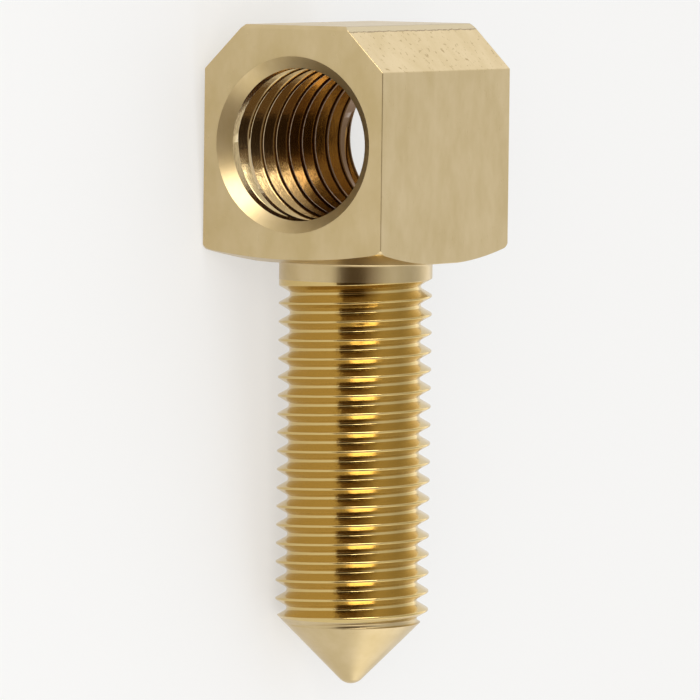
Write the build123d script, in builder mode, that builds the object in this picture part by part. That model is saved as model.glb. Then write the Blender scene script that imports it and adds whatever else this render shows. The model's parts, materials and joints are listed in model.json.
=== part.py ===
# One-piece brass nut: a block head tapped across for one screw, on a threaded and pointed shank.
# The body is drawn with its shank hanging down from the head, then laid down as it comes to rest.
# Sizes are in millimetres.
import os
from math import asin, atan2, cos, degrees, hypot, radians, sin, tan

from build123d import *

# Head: a block with the cross hole through its length
head_width = 16.0  # across the cross hole
head_length = 20.0  # along the cross hole
head_height = 18.5
head_chamfer = 3.5  # on the two top edges beside the cross hole
head_edge_break = 0.08

# Underside of the head, turned about the shank: a flat seat inside a shallow dome
seat_diameter = 16.6  # bears on what the shank screws into
dome_radius = 48.0  # of a sphere centred on the shank's axis
corner_turn_diameter = 25.7
corner_round_radius = 0.8
turning_clearance = 1.0  # how far the cut profile reaches past the corners

# Cross hole, M14 x 2: the wall is the crest of its thread
hole_diameter = 11.85
hole_height = 9.25  # its axis, above the underside of the head
countersink_diameter = 13.7
countersink_angle = 90.0

# Shank, M12: the wall is the crest of its thread
shank_diameter = 12.0
shank_length = 27.7  # from the head to the start of the point
neck_fillet_radius = 0.2
point_angle = 90.0
point_tip_radius = 1.2

shank_radius = shank_diameter / 2
point_half_angle = radians(point_angle / 2)

with BuildPart() as nut_body:
    # The block, seen along the cross hole
    with BuildSketch(Plane.XZ):
        Rectangle(head_width, head_height, align=(Align.CENTER, Align.MIN))
        chamfer(vertices().group_by(Axis.Y)[-1], length=head_chamfer)
    extrude(amount=head_length / 2, both=True)
    turned_edges = edges().group_by(Axis.Z)[0]
    chamfer(edges() - turned_edges, length=head_edge_break)

    # The underside is faced flat round the shank and domed away from it towards the corners
    seat_radius = seat_diameter / 2
    corner_turn_radius = corner_turn_diameter / 2
    head_corner_radius = hypot(head_width, head_length) / 2
    clear_radius = max(head_corner_radius, corner_turn_radius) + turning_clearance
    dome_centre_height = (dome_radius**2 - seat_radius**2) ** 0.5
    dome_start = degrees(asin(seat_radius / dome_radius))
    dome_end = degrees(asin(corner_turn_radius / dome_radius))
    with BuildSketch(Plane.XZ) as turned_away:
        with BuildLine():
            dome = CenterArc((0, dome_centre_height), dome_radius, dome_start - 90, dome_end - dome_start)
            Polyline(
                dome @ 1,
                (corner_turn_radius, head_height),
                (clear_radius, head_height),
                (clear_radius, 0),
                dome @ 0,
            )
        make_face()
        fillet(turned_away.vertices().sort_by_distance(dome @ 1)[0], corner_round_radius)
    revolve(axis=Axis.Z, mode=Mode.SUBTRACT)

    # Cross hole with a countersink at each mouth
    front_mouth = Plane((0, -head_length / 2, hole_height), x_dir=(1, 0, 0), z_dir=(0, -1, 0))
    rear_mouth = Plane((0, head_length / 2, hole_height), x_dir=(1, 0, 0), z_dir=(0, 1, 0))
    with Locations(front_mouth, rear_mouth):
        CounterSinkHole(hole_diameter / 2, countersink_diameter / 2, counter_sink_angle=countersink_angle)

    # Shank and its rounded point
    cone_tip_drop = shank_radius / tan(point_half_angle)
    tip_centre = -shank_length - cone_tip_drop + point_tip_radius / sin(point_half_angle)
    tip_touch = (point_tip_radius * cos(point_half_angle), tip_centre - point_tip_radius * sin(point_half_angle))
    tip_end = (0, tip_centre - point_tip_radius)
    with BuildSketch(Plane.XZ):
        with BuildLine():
            Polyline((0, 0), (shank_radius, 0), (shank_radius, -shank_length), tip_touch)
            RadiusArc(tip_touch, tip_end, point_tip_radius)
            Line(tip_end, (0, 0))
        make_face()
    revolve(axis=Axis.Z)
    neck = edges().filter_by(GeomType.CIRCLE).sort_by_distance((0, 0, 0))[0]
    fillet(neck, neck_fillet_radius)

# Lying down, the shank points along +X and dips until the head's lower edge and the end of the
# thread both touch the floor; the cross hole runs along Y.
shank_dip = degrees(atan2(head_width / 2 - shank_radius, shank_length))
lying = nut_body.part.rotate(Axis.Y, shank_dip - 90)
box = lying.bounding_box()
lying = lying.translate((-box.center().X, 0, -box.min.Z))
lying.label = "nut_body"

os.makedirs("parts", exist_ok=True)
export_step(lying, "parts/nut_body.step")
print(f"shank dips {shank_dip:.3f} degrees")
print(f"head underside on the shank axis at {-box.center().X:.4f}, 0, {-box.min.Z:.4f}")
print(f"volume {lying.volume:.1f} mm3, centre of mass {lying.center(CenterOf.MASS)}")
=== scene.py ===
import json
from math import cos, pi, radians, sin, tan, tau

import bpy
from mathutils import Matrix, Vector


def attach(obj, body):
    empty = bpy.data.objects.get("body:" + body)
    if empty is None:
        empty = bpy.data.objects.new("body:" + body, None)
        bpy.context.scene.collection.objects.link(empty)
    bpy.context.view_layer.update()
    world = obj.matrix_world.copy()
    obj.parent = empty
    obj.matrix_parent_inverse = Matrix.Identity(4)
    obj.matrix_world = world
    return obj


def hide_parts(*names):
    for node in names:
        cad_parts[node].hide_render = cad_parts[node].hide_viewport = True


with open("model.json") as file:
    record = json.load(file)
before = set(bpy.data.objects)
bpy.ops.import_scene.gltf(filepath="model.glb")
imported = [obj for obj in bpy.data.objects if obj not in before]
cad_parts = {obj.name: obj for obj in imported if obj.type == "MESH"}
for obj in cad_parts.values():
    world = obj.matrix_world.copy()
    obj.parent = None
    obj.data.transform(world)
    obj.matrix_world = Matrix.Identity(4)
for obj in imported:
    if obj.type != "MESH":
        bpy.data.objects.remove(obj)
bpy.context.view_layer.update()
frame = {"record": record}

print("frame loaded")

# The nut is drawn in millimetres with its head up, X across the cross hole and Y along it,
# and is laid down onto the frame when its shape is done
mm = 0.001
tiny = 0.001  # two places that differ by less are the same
overlap = 1.0  # how far a cutter, or a piece that is joined on, reaches past the metal


def deselectAll():
    if bpy.context.mode != "OBJECT":
        bpy.ops.object.mode_set(mode="OBJECT")
    bpy.ops.object.select_all(action="DESELECT")


def selectOnly(piece):
    deselectAll()
    piece.select_set(True)
    bpy.context.view_layer.objects.active = piece


def applyModifier(piece, kind, **settings):
    selectOnly(piece)
    modifier = piece.modifiers.new(kind, kind)
    for key, value in settings.items():
        setattr(modifier, key, value)
    bpy.ops.object.modifier_apply(modifier=modifier.name)


# cuts flat bevels on the edges whose two ends pass the test
def bevelEdges(piece, offset, wanted):
    bpy.context.tool_settings.mesh_select_mode = (False, True, False)
    mesh = piece.data
    for item in (*mesh.vertices, *mesh.polygons):
        item.select = False
    for edge in mesh.edges:
        edge.select = wanted(*(mesh.vertices[i].co for i in edge.vertices))
    bpy.ops.object.mode_set(mode="EDIT")
    bpy.ops.mesh.bevel(offset=offset, segments=1, affect="EDGES")
    bpy.ops.object.mode_set(mode="OBJECT")


# a chain of edges, drawn as one vertex extruded from point to point
def drawLine(name, points, closed=False):
    deselectAll()
    bpy.ops.mesh.primitive_plane_add(size=1, location=(0, 0, 0))
    piece = bpy.context.object
    piece.name = name
    bpy.ops.object.mode_set(mode="EDIT")
    bpy.ops.mesh.merge(type="CENTER")
    bpy.ops.mesh.select_mode(type="VERT")
    bpy.ops.mesh.select_all(action="SELECT")
    here = Vector(points[0])
    bpy.ops.transform.translate(value=here)
    for point in points[1:]:
        bpy.ops.mesh.extrude_vertices_move(TRANSFORM_OT_translate={"value": Vector(point) - here})
        here = Vector(point)
    if closed:
        bpy.ops.mesh.select_all(action="SELECT")
        bpy.ops.mesh.edge_face_add()
    bpy.ops.object.mode_set(mode="OBJECT")
    return piece


# merges doubles, fills open ends and turns the normals outwards
def closeUp(piece):
    selectOnly(piece)
    bpy.ops.object.mode_set(mode="EDIT")
    bpy.ops.mesh.select_all(action="SELECT")
    bpy.ops.mesh.remove_doubles(threshold=tiny / 2)
    bpy.ops.mesh.select_mode(type="EDGE")
    bpy.ops.mesh.select_all(action="DESELECT")
    bpy.ops.mesh.select_non_manifold()
    bpy.ops.mesh.fill_holes(sides=0)
    bpy.ops.mesh.select_all(action="SELECT")
    bpy.ops.mesh.normals_make_consistent(inside=False)
    bpy.ops.object.mode_set(mode="OBJECT")


# a solid turned on the lathe from an outline of (radius, height)
def turnOnLathe(name, outline, steps):
    piece = drawLine(name, [(radius, 0, height) for radius, height in outline])
    applyModifier(
        piece, "SCREW", axis="Z", angle=tau, steps=steps, render_steps=steps, use_merge_vertices=True
    )
    closeUp(piece)
    return piece


# points on an arc of an outline, from one angle in degrees to another
def arc(centre, radius, start, end, count):
    angles = [radians(start + (end - start) * i / count) for i in range(count + 1)]
    return [(centre[0] + radius * cos(a), centre[1] + radius * sin(a)) for a in angles]


def combine(piece, other, operation):
    applyModifier(piece, "BOOLEAN", object=other, operation=operation, solver="MANIFOLD")
    bpy.data.objects.remove(other)


# Head: a block with two chamfers along its top
head = {
    "width": 16.0,
    "length": 20.0,
    "height": 18.5,
    "chamfer": 3.5,
    "mouthEdgeBreak": 0.28,  # the top edges at the two ends
    "edgeRound": 0.08,
    "edgeSteps": 3,
    "roundedFrom": 30.0,  # edges that turn by more degrees are rounded
    "smoothUpTo": 34.0,  # and faces that turn by less are shaded as one
    "seatRadius": 8.2,
    "domeRadius": 48.0,
    "domeSteps": 10,
    "cornerTurn": 12.85,
    "cornerRound": 0.8,
    "roundPastDome": 0.9,  # share of the corner round that lies past the dome
    "roundStart": -72.0,  # in degrees, where it takes over from the dome
    "roundSteps": 6,
    "turningSteps": 256,
}
deselectAll()
bpy.ops.mesh.primitive_cube_add(
    size=1,
    location=(0, 0, head["height"] / 2),
    scale=(head["width"], head["length"], head["height"]),
)
nut = bpy.context.object
nut.name = "nut"
bpy.ops.object.transform_apply(location=True, rotation=False, scale=True)
top = head["height"] - tiny
bevelEdges(nut, head["chamfer"], lambda a, b: a.z > top and b.z > top and abs(a.x - b.x) < tiny)
bevelEdges(nut, head["mouthEdgeBreak"], lambda a, b: a.z > top and b.z > top and abs(a.y - b.y) < tiny)
applyModifier(
    nut, "BEVEL", width=head["edgeRound"], segments=head["edgeSteps"], limit_method="ANGLE",
    angle_limit=radians(head["roundedFrom"]),
)
print("block", len(nut.data.polygons))

# Its underside is turned about the shank: a flat seat, then part of a wide sphere, and round corners
seatRadius, domeRadius, domeSteps = head["seatRadius"], head["domeRadius"], head["domeSteps"]
cornerTurn, cornerRound = head["cornerTurn"], head["cornerRound"]
domeCentre = (domeRadius ** 2 - seatRadius ** 2) ** 0.5
domeReach = cornerTurn - cornerRound * head["roundPastDome"]
reaches = [seatRadius + (domeReach - seatRadius) * i / domeSteps for i in range(domeSteps + 1)]
dome = [(reach, domeCentre - (domeRadius ** 2 - reach ** 2) ** 0.5) for reach in reaches]
roundCentre = (cornerTurn - cornerRound, dome[-1][1] + cornerRound)
cornerArc = arc(roundCentre, cornerRound, head["roundStart"], 0, head["roundSteps"])
overTop = head["height"] + overlap
turnedShape = turnOnLathe(
    "turnedShape", [(0, 0), *dome, *cornerArc, (cornerTurn, overTop), (0, overTop)], head["turningSteps"]
)
combine(nut, turnedShape, "INTERSECT")
print("underside turned", len(nut.data.polygons))

# Shank blank with its collar, neck fillet and rounded 90 degree point
shank = {
    "radius": 6.0,
    "length": 27.7,
    "collar": 1.5,
    "neckFillet": 0.35,
    "neckSteps": 5,
    "tipRadius": 1.21,
    "tipSteps": 8,
    "pitch": 1.447,
    "crestRadius": 6.0,
    "rootRadius": 5.12,
    "crestRound": 0.12,
    "cutterClear": 0.14,  # how far the cutter stands out of the metal
    "turns": 19.75,
    "startRunOut": 0.0,  # turns over which the cutter leaves the metal at each end
    "endRunOut": 0.3,
    "runOutDepth": 1.2,
    "threadEnd": 28.0,
    "lastCrest": -28.02,  # its height, at an angle in degrees round the shank
    "lastCrestAngle": 210.0,
    "turnsBeforeLastCrest": 0.75,
    "steps": 128,
}
radius, fillet, tip = shank["radius"], shank["neckFillet"], shank["tipRadius"]
tipCentre = -shank["length"] - radius + tip / sin(pi / 4)
neck = arc((radius + fillet, -fillet), fillet, 90, 180, shank["neckSteps"])
point = arc((0, tipCentre), tip, -45, -90, shank["tipSteps"])
blank = turnOnLathe(
    "blank", [(0, overlap), (radius + fillet, overlap), *neck, (radius, -shank["length"]), *point],
    shank["steps"],
)
combine(nut, blank, "UNION")
print("shank joined", len(nut.data.polygons))


# the outline of a 60 degree groove between two rounded crests; how round its root is follows from
# how deep it is. Turn by turn the coil leaves a hair of each crest standing
def grooveOutline(thread):
    flankAngle = 30  # degrees from square across the thread
    rootAngles, crestAngles = (15, 30, 45, 60), (60, 46, 32, 18, 6)
    crest, root, crestRound = thread["crestRadius"], thread["rootRadius"], thread["crestRound"]
    out = 1 if crest > root else -1
    rootRound = thread["pitch"] * cos(radians(flankAngle)) - abs(crest - root) - crestRound
    atRoot = [
        (root + out * rootRound * (1 - cos(a)), rootRound * sin(a)) for a in map(radians, rootAngles)
    ]
    atCrest = [
        (crest - out * crestRound * (1 - cos(a)), thread["pitch"] / 2 - crestRound * sin(a))
        for a in map(radians, crestAngles)
    ]
    half = [*atRoot, *atCrest, (crest + out * thread["cutterClear"], atCrest[-1][1])]
    return [*((r, -z) for r, z in reversed(half)), (root, 0), *half]


# a coil that cuts a right-hand thread: the groove's outline climbs one pitch a turn, and at each end
# it is drawn back out of the metal over part of a turn
def threadCutter(thread, turns):
    outline = grooveOutline(thread)
    coil = drawLine("coil", [(r, 0, z) for r, z in outline], closed=True)
    count = round(turns * thread["steps"])
    applyModifier(
        coil, "SCREW", axis="Z", angle=tau * turns, screw_offset=thread["pitch"] * turns,
        steps=count + 1, render_steps=count + 1, use_merge_vertices=False,
    )
    startRunOut, endRunOut = thread["startRunOut"], thread["endRunOut"]
    for vertex in coil.data.vertices:
        turnsDone = vertex.index // len(outline) / thread["steps"]
        atStart = 1 - turnsDone / startRunOut if startRunOut else 0
        atEnd = 1 - (turns - turnsDone) / endRunOut if endRunOut else 0
        flat = vertex.co.xy
        vertex.co.xy = flat * (1 + thread["runOutDepth"] * max(atStart, atEnd, 0) / flat.length)
    closeUp(coil)
    return coil


# External thread, from below the point's start up into the collar. The coil starts before the last
# crest, with its groove's middle half a pitch below
coil = threadCutter(shank, shank["turns"])
before = shank["turnsBeforeLastCrest"]
coil.data.transform(Matrix.Rotation(tau * (shank["lastCrestAngle"] / 360 - before), 4, "Z"))
coil.data.transform(Matrix.Translation((0, 0, shank["lastCrest"] - shank["pitch"] * (before + 0.5))))
combine(nut, coil, "DIFFERENCE")
print("external thread cut", len(nut.data.polygons))

# Cross hole with a 90 degree countersink at each mouth, then its thread
hole = {
    "height": 9.25,
    "countersinkRadius": 6.85,
    "pitch": 2.0,
    "crestRadius": 5.925,
    "rootRadius": 6.93,
    "crestRound": 0.36,
    "cutterClear": 0.3,
    "startRunOut": 0.35,
    "endRunOut": 0.35,
    "runOutDepth": -1.4,
    "leadIn": 1.9,  # from the near mouth to the middle of the first groove
    "leadOut": 1.1,  # and from the last one to the far mouth
    "startAngle": 60.0,  # in degrees round the hole
    "steps": 96,
}
halfLength = head["length"] / 2
wide, narrow = hole["countersinkRadius"], hole["crestRadius"]
sinkDepth = wide - narrow
halfBore = [
    (narrow, halfLength - sinkDepth), (wide + overlap, halfLength + overlap), (0, halfLength + overlap)
]
bore = turnOnLathe("bore", [*((r, -z) for r, z in reversed(halfBore)), *halfBore], hole["steps"])
intoHole = Matrix.Translation((0, 0, hole["height"])) @ Matrix.Rotation(-pi / 2, 4, "X")
bore.data.transform(intoHole)
combine(nut, bore, "DIFFERENCE")
coil = threadCutter(hole, (head["length"] - hole["leadIn"] - hole["leadOut"]) / hole["pitch"])
coil.data.transform(Matrix.Translation((0, 0, hole["leadIn"] - halfLength)))
coil.data.transform(intoHole @ Matrix.Rotation(radians(hole["startAngle"]), 4, "Z"))
combine(nut, coil, "DIFFERENCE")
print("cross hole tapped", len(nut.data.polygons))

# The record's mounts say where the head and the hole lie in the frame
mounts = {mount["name"]: mount for mount in frame["record"]["mounts"]}
headUp = Vector(mounts["head_top"]["axis"]).normalized()
holeAlong = Vector(mounts["cross_hole"]["axis"]).normalized()
seat = Vector(mounts["head_top"]["pos_m"]) - headUp * head["height"] * mm
upright = Matrix((holeAlong.cross(headUp), holeAlong, headUp)).transposed()
layDown = Matrix.Translation(seat) @ upright.to_4x4() @ Matrix.Scale(mm, 4)
tilt = layDown.to_3x3().normalized()
nut.data.transform(layDown)
selectOnly(nut)
bpy.ops.object.shade_smooth_by_angle(angle=radians(head["smoothUpTo"]))
applyModifier(nut, "WEIGHTED_NORMAL", keep_sharp=True, weight=100)

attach(nut, "root")
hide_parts("nut_body")
print("nut laid down")


# sRGB hex to linear colour
def linear(code):
    parts = [int(code[i:i + 2], 16) / 255 for i in (1, 3, 5)]
    return [c / 12.92 if c <= 0.04045 else ((c + 0.055) / 1.055) ** 2.4 for c in parts] + [1]


# adds a node with its settings; links are pairs of a socket and a node, an output or a value, and a
# node stands for its first output. A Mix node's colours are sockets 6 and 7 and its output 2, and its
# numbers are sockets 2 and 3
def addNode(tree, kind, links=(), **settings):
    node = tree.nodes.new(kind)
    for key, value in settings.items():
        setattr(node, key, value)
    for socket, source in links:
        if isinstance(source, bpy.types.Node):
            source = source.outputs[0]
        if isinstance(source, bpy.types.NodeSocket):
            tree.links.new(source, node.inputs[socket])
        else:
            node.inputs[socket].default_value = source
    return node


# Free-machining brass. Its milled and turned outside has dulled a little: pale and soft, with faint
# clouds and cutter marks along the block's height and round the shank. The cut threads are brighter
# and smoother, so that light thrown from flank to flank turns their grooves a deep gold. Widths and
# depths are in millimetres
brass = {
    "dull": "#D0BB90",
    "dullCloud": "#C5AF80",
    "dullRoughness": 0.3,
    "thread": "#D2B87A",
    "cutRoughness": 0.17,
    "mouthRoughness": 0.38,
    "paintedHoleShade": "#A9814A",  # painted shade, browner deeper in the tapped hole and darkest on its crests
    "paintedCrestShade": "#65492A",
    "crestDepth": 0.14,  # how far below a crest's top it is darkest
    "paintedShadeDepths": (-7.5, 1.0),  # along the hole from its middle, where the painted shade starts and is full
    "pit": "#A58C5A",
    "pitWidth": 0.42,
    "pitRange": (0.61, 0.68),  # part of its pattern's range over which a pit deepens
    "paintedFacetShade": "#BFAF8B",  # painted shade of a steeper facet along the top of each chamfer, with a painted dark line of shade under it
    "paintedFacetWidth": 0.44,
    "paintedFacetWave": 0.22,
    "paintedFacetFade": 0.04,
    "paintedShadeLine": "#8F7A55",
    "paintedShadeLineWidth": 0.07,
    "cloudWidth": 2.6,
    "cloudRange": (0.32, 0.68),
    "markWidth": 0.12,  # cutter marks, coarser than the real ones so that they show
    "markDepth": 0.004,
    "markRoughness": 0.12,
    "markStrengths": (1.0, 0.12),  # outside, and on the cut threads
    "tremble": 0.7,  # width of the waves that a tap or die leaves in a flank
    "trembleDepth": 0.014,
    "patternDetail": 3,
    "patternRoughness": 0.6,
}


def makeBrass():
    material = bpy.data.materials.new("milledAndTurnedBrass")
    material.use_nodes = True
    tree = material.node_tree
    shader = tree.nodes["Principled BSDF"]
    shader.inputs["Metallic"].default_value = 1
    coordinates = addNode(tree, "ShaderNodeTexCoord")
    # millimetres, with the head up as the nut was drawn
    drawn = addNode(
        tree, "ShaderNodeMapping",
        [("Vector", coordinates.outputs["Object"]), ("Location", seat), ("Scale", (mm, mm, mm)),
         ("Rotation", tilt.to_euler())],
        vector_type="TEXTURE",
    )
    across, deep, high = addNode(tree, "ShaderNodeSeparateXYZ", [("Vector", drawn)]).outputs
    reach = 0.05  # how far past its surface a part is taken to go

    # where the block, the shank's thread, the hole and its tapped part are
    block = addNode(tree, "ShaderNodeMath", [(0, high), (1, 0.0)], operation="GREATER_THAN")
    collar, threadEnd = shank["collar"], shank["threadEnd"]
    thread = addNode(
        tree, "ShaderNodeMath",
        [(0, high), (1, -(collar + threadEnd) / 2), (2, (threadEnd - collar) / 2)], operation="COMPARE",
    )
    fromHole = addNode(
        tree, "ShaderNodeMapping",
        [("Vector", drawn), ("Location", (0, 0, -hole["height"])), ("Scale", (1, 0, 1))],
    )
    fromHole = addNode(tree, "ShaderNodeVectorMath", [(0, fromHole)], operation="LENGTH").outputs["Value"]
    nearHole = addNode(
        tree, "ShaderNodeMath", [(0, fromHole), (1, hole["rootRadius"] + reach)], operation="LESS_THAN"
    )
    tapped = addNode(
        tree, "ShaderNodeMath", [(0, deep), (1, 0.0), (2, halfLength - sinkDepth)], operation="COMPARE"
    )
    bore = addNode(tree, "ShaderNodeMath", [(0, nearHole), (1, tapped)], operation="MULTIPLY")
    cut = addNode(tree, "ShaderNodeMath", [(0, thread), (1, bore)], operation="MAXIMUM")
    aside = addNode(tree, "ShaderNodeMath", [(0, across)], operation="ABSOLUTE")
    outwards = addNode(tree, "ShaderNodeMath", [(0, aside), (1, high)], operation="ADD")
    chamferStart = head["width"] / 2 + head["height"] - head["chamfer"] - reach
    chamfers = addNode(
        tree, "ShaderNodeMath", [(0, outwards), (1, chamferStart)], operation="GREATER_THAN"
    )

    # the marks lie along the block's height and round the shank
    patterns = {}
    for name, scale, width in (
        ("clouds", (1, 1, 0.6), brass["cloudWidth"]), ("milled", (1, 1, 0.12), brass["markWidth"]),
        ("turned", (0.02, 0.02, 1), brass["markWidth"]), ("tremble", (1, 1, 1), brass["tremble"]),
        ("pits", (1, 1, 1), brass["pitWidth"]),
    ):
        stretched = addNode(tree, "ShaderNodeMapping", [("Vector", drawn), ("Scale", scale)])
        patterns[name] = addNode(
            tree, "ShaderNodeTexNoise",
            [("Vector", stretched), ("Scale", 1 / width), ("Detail", brass["patternDetail"]),
             ("Roughness", brass["patternRoughness"])],
        )
    marks = addNode(
        tree, "ShaderNodeMix", [(0, block), (2, patterns["turned"]), (3, patterns["milled"])],
        data_type="FLOAT",
    )

    # pits and the painted shade of a steeper facet are on the two chamfers only, and the painted shade of
    # the hole is in its tapped part
    wavyHeight = addNode(
        tree, "ShaderNodeMath", [(0, patterns["tremble"]), (1, brass["paintedFacetWave"]), (2, high)],
        operation="MULTIPLY_ADD",
    )
    paintedFacetEdge = head["height"] - brass["paintedFacetWidth"] + brass["paintedFacetWave"] / 2
    shares = {}
    for name, source, ends, most in (
        ("clouds", patterns["clouds"], brass["cloudRange"], 1.0),
        ("paintedHoleShade", deep, brass["paintedShadeDepths"], bore),
        ("pits", patterns["pits"], brass["pitRange"], chamfers),
        ("paintedFacetShade", wavyHeight, (paintedFacetEdge, paintedFacetEdge + brass["paintedFacetFade"]), chamfers),
    ):
        shares[name] = addNode(
            tree, "ShaderNodeMapRange",
            [("Value", source), ("From Min", ends[0]), ("From Max", ends[1]), ("To Max", most)],
        )
    # the painted shade in the hole is darkest on its crests
    onCrest = addNode(
        tree, "ShaderNodeMath", [(0, fromHole), (1, hole["crestRadius"] + brass["crestDepth"])],
        operation="LESS_THAN",
    )
    paintedCrestShare = addNode(tree, "ShaderNodeMath", [(0, shares["paintedHoleShade"]), (1, onCrest)], operation="MULTIPLY")
    # a painted dark line of shade where the steeper facet meets the chamfer
    line = addNode(
        tree, "ShaderNodeMath", [(0, wavyHeight), (1, paintedFacetEdge), (2, brass["paintedShadeLineWidth"] / 2)],
        operation="COMPARE",
    )
    paintedShadeLine = addNode(tree, "ShaderNodeMath", [(0, line), (1, chamfers)], operation="MULTIPLY")

    # clouds and pits are the brass's own tone; the hole's and the facet's tones and the dark line are
    # painted shade
    colour = linear(brass["dull"])
    for share, tone in (
        (shares["clouds"], "dullCloud"), (thread, "thread"), (shares["paintedHoleShade"], "paintedHoleShade"),
        (paintedCrestShare, "paintedCrestShade"), (shares["pits"], "pit"), (shares["paintedFacetShade"], "paintedFacetShade"), (paintedShadeLine, "paintedShadeLine"),
    ):
        colour = addNode(
            tree, "ShaderNodeMix", [(0, share), (6, colour), (7, linear(brass[tone]))], data_type="RGBA"
        ).outputs[2]
    tree.links.new(colour, shader.inputs["Base Color"])

    outside = addNode(
        tree, "ShaderNodeMix", [(0, nearHole), (2, brass["dullRoughness"]), (3, brass["mouthRoughness"])],
        data_type="FLOAT",
    )
    even = addNode(
        tree, "ShaderNodeMix", [(0, cut), (2, outside), (3, brass["cutRoughness"])], data_type="FLOAT"
    )
    marked = addNode(
        tree, "ShaderNodeMath", [(0, marks), (1, brass["markRoughness"]), (2, even)],
        operation="MULTIPLY_ADD",
    )
    rough = addNode(
        tree, "ShaderNodeMath", [(0, marked), (1, brass["markRoughness"] / 2)], operation="SUBTRACT"
    )
    tree.links.new(rough.outputs[0], shader.inputs["Roughness"])

    waves = addNode(
        tree, "ShaderNodeBump",
        [("Height", patterns["tremble"]), ("Strength", cut), ("Distance", brass["trembleDepth"] * mm)],
    )
    onOutside, onThreads = brass["markStrengths"]
    strength = addNode(
        tree, "ShaderNodeMix", [(0, cut), (2, onOutside), (3, onThreads)], data_type="FLOAT"
    )
    scratches = addNode(
        tree, "ShaderNodeBump",
        [("Height", marks), ("Strength", strength), ("Distance", brass["markDepth"] * mm),
         ("Normal", waves)],
    )
    tree.links.new(scratches.outputs["Normal"], shader.inputs["Normal"])
    return material


nut.data.materials.clear()
nut.data.materials.append(makeBrass())
print("brass ready")

# Pale floor of mat paper, in metres. Part of its white is its own, as it is seen and as the brass
# reflects it, so that the nut's shadow stays soft
floorPaper = {
    "size": 6.0,
    "colour": "#F3F3F2",
    "roughness": 0.9,
    "gloss": 0.1,
    "ownColour": "#FDFDFC",
    "ownShare": 0.5,
}
deselectAll()
bpy.ops.mesh.primitive_plane_add(size=floorPaper["size"], location=(0, 0, 0))
floor = bpy.context.object
floor.name = "floor"
paper = bpy.data.materials.new("matWhitePaper")
paper.use_nodes = True
paperTree = paper.node_tree
paperShader = paperTree.nodes["Principled BSDF"]
paperShader.inputs["Base Color"].default_value = linear(floorPaper["colour"])
paperShader.inputs["Roughness"].default_value = floorPaper["roughness"]
paperShader.inputs["Specular IOR Level"].default_value = floorPaper["gloss"]
ray = addNode(paperTree, "ShaderNodeLightPath")
seen = addNode(
    paperTree, "ShaderNodeMath", [(0, ray.outputs["Is Camera Ray"]), (1, ray.outputs["Is Glossy Ray"])],
    operation="MAXIMUM",
)
ownShare = addNode(
    paperTree, "ShaderNodeMath", [(0, seen), (1, floorPaper["ownShare"])], operation="MULTIPLY"
)
ownWhite = addNode(paperTree, "ShaderNodeEmission", [("Color", linear(floorPaper["ownColour"]))])
mixed = addNode(paperTree, "ShaderNodeMixShader", [(0, ownShare), (1, paperShader), (2, ownWhite)])
paperTree.links.new(mixed.outputs[0], paperTree.nodes["Material Output"].inputs["Surface"])
floor.data.materials.append(paper)
print("floor ready")

# Camera: where the nut is seen from, about its shank and with its head up, in degrees and millimetres
cameraPlace = {
    "turn": 30.16,  # degrees from the hole's near mouth towards the block's side
    "lift": 3.19,
    "roll": 0.72,
    "distance": 757.0,
    "aimHeight": -7.04,  # of the point that it looks at, from the head's seat
    "aimLeft": 0.375,
    "viewWidth": 54.77,  # as seen at that point
}
cameraData = bpy.data.cameras.new("camera")
camera = bpy.data.objects.new("camera", cameraData)
bpy.context.scene.collection.objects.link(camera)
bpy.context.scene.camera = camera
turnAngle, lift = radians(cameraPlace["turn"]), radians(cameraPlace["lift"])
towards = Vector((sin(turnAngle) * cos(lift), -cos(turnAngle) * cos(lift), sin(lift)))
right = Vector((cos(turnAngle), sin(turnAngle), 0))
up = towards.cross(right)
aim = Vector((0, 0, cameraPlace["aimHeight"])) - right * cameraPlace["aimLeft"]
rolled = Matrix.Rotation(radians(cameraPlace["roll"]), 3, towards)
turned = tilt @ Matrix((rolled @ right, rolled @ up, towards)).transposed()
standsAt = layDown @ (aim + towards * cameraPlace["distance"])
camera.matrix_world = Matrix.Translation(standsAt) @ turned.to_4x4()
cameraData.lens = cameraData.sensor_width * cameraPlace["distance"] / cameraPlace["viewWidth"]
print("camera ready")

# Studio, in metres: a room that is bright above and behind the nut and dim brown in front, with a
# black card round the camera, a softbox above it and to the right, and a lamp that the brass doesn't
# reflect, so that it lights the floor only
studio = {
    "dim": (0.17, 0.105, 0.05),
    # brightness by degrees round the shank, from the front up over the nut, or by share of the way
    # from the head's end of the room to the point's
    "dimRound": ((36, 1.0), (56, 0.7), (78, 0.0)),
    "dimAlong": ((0.24, 0.0), (0.34, 1.0), (0.86, 1.0), (0.92, 0.0)),
    "bright": ((85, 0.78), (100, 0.7), (122, 0.58), (140, 0.7), (150, 0.92), (175, 1.5)),
    "beyondPoint": ((0.86, 0.0), (0.95, 1.0)),
    "beyondPointLight": 1.6,
    "floorLampPlace": (0.0, -1.1, 0.62),
    "floorLampSize": 1.0,
    "floorLampPower": 12.0,
    # what each card glows with, and its reach in degrees off the camera's line
    "blackCard": {"toRight": (-25.0, 16.0), "upwards": (-17.0, 17.0), "colour": (0.03, 0.018, 0.009)},
    "softbox": {"toRight": (-8.0, 44.0), "upwards": (30.0, 70.0), "colour": (5.0, 4.8, 4.5)},
    "cardDistance": 0.95,
}
world = bpy.data.worlds.new("studio")
bpy.context.scene.world = world
world.use_nodes = True
sky = world.node_tree
direction = addNode(sky, "ShaderNodeTexCoord").outputs["Generated"]
parts = addNode(sky, "ShaderNodeSeparateXYZ", [(0, direction)])
front = addNode(sky, "ShaderNodeMath", [(0, parts.outputs["Y"]), (1, -1.0)], operation="MULTIPLY")
rise = addNode(sky, "ShaderNodeMath", [(0, parts.outputs["Z"]), (1, front)], operation="ARCTAN2")
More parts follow.
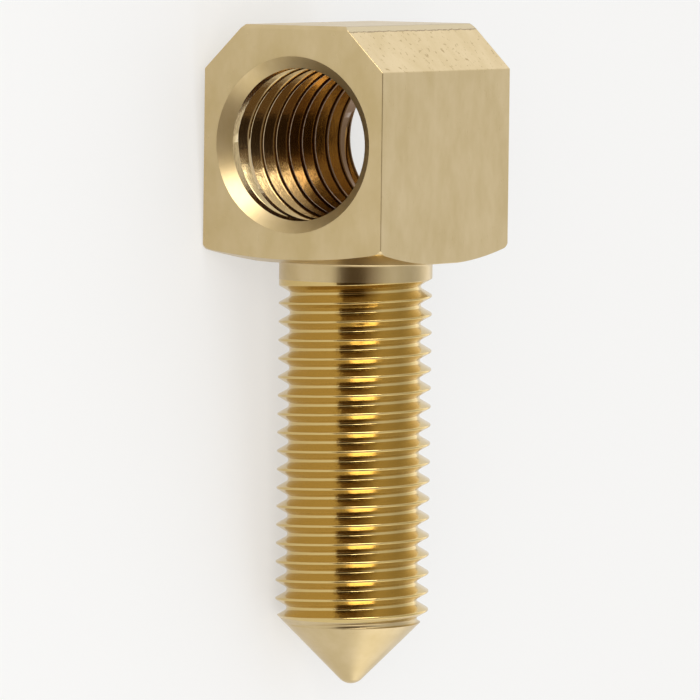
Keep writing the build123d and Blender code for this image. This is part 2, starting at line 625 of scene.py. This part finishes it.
roundShank = addNode(sky, "ShaderNodeMath", [(0, rise), (1, pi)], operation="DIVIDE")
alongShank = addNode(
    sky, "ShaderNodeMath", [(0, parts.outputs["X"]), (1, 0.5), (2, 0.5)], operation="MULTIPLY_ADD"
)
ramps = {}
for name, place, most in (
    ("dimRound", roundShank, 180), ("dimAlong", alongShank, 1),
    ("bright", roundShank, 180), ("beyondPoint", alongShank, 1),
):
    ramps[name] = addNode(sky, "ShaderNodeValToRGB", [(0, place)])
    elements = ramps[name].color_ramp.elements
    while len(elements) < len(studio[name]):
        elements.new(1)
    for element, (stop, brightness) in zip(elements, studio[name]):
        element.position = stop / most
        element.color = (brightness, brightness, brightness, 1)
# the dim side reaches over the front of the shank, and stops short of both ends
dimShare = addNode(
    sky, "ShaderNodeMix", [(0, 1.0), (6, ramps["dimRound"]), (7, ramps["dimAlong"])],
    data_type="RGBA", blend_type="MULTIPLY",
)
bright = addNode(
    sky, "ShaderNodeMix",
    [(0, ramps["beyondPoint"]), (6, ramps["bright"]), (7, (*[studio["beyondPointLight"]] * 3, 1))],
    data_type="RGBA",
)
light = addNode(
    sky, "ShaderNodeMix", [(0, dimShare.outputs[2]), (6, bright.outputs[2]), (7, (*studio["dim"], 1))],
    data_type="RGBA",
)
sky.links.new(light.outputs[2], sky.nodes["Background"].inputs["Color"])


# a card that faces the nut with its first side along the shank, and is as large as it reaches
def addCard(name):
    card, distance = studio[name], studio["cardDistance"]
    toRight, upwards = (radians(sum(card[key]) / 2) for key in ("toRight", "upwards"))
    wide, high = (2 * tan(radians(card[key][1] - card[key][0]) / 2) for key in ("toRight", "upwards"))
    azimuth = turnAngle + toRight
    way = tilt @ Vector((sin(azimuth) * cos(upwards), -cos(azimuth) * cos(upwards), sin(upwards)))
    side = tilt @ Vector((0, 0, 1))
    side = (side - way * side.dot(way)).normalized()
    facing = Matrix((side, way.cross(side), way)).transposed().to_4x4()
    size = Matrix.Diagonal((high * distance, wide * cos(upwards) * distance, 1, 1))
    deselectAll()
    bpy.ops.mesh.primitive_plane_add(size=1)
    piece = bpy.context.object
    piece.name = name
    piece.data.transform(Matrix.Translation(way * distance) @ facing @ size)
    surface = bpy.data.materials.new(name + "Surface")
    surface.use_nodes = True
    tree = surface.node_tree
    tree.nodes.clear()
    glow = addNode(tree, "ShaderNodeEmission", [("Color", (*card["colour"], 1))])
    addNode(tree, "ShaderNodeOutputMaterial", [("Surface", glow)])
    piece.data.materials.append(surface)
    piece.visible_camera = piece.visible_diffuse = piece.visible_shadow = False


addCard("blackCard")
addCard("softbox")

deselectAll()
bpy.ops.object.light_add(type="AREA", location=studio["floorLampPlace"])
floorLamp = bpy.context.object
floorLamp.name = "floorLamp"
floorLamp.data.size = studio["floorLampSize"]
floorLamp.data.energy = studio["floorLampPower"]
floorLamp.rotation_euler = floorLamp.location.to_track_quat("Z", "Y").to_euler()
floorLamp.visible_glossy = False
bpy.context.scene.view_settings.view_transform = "Standard"
print("studio ready")
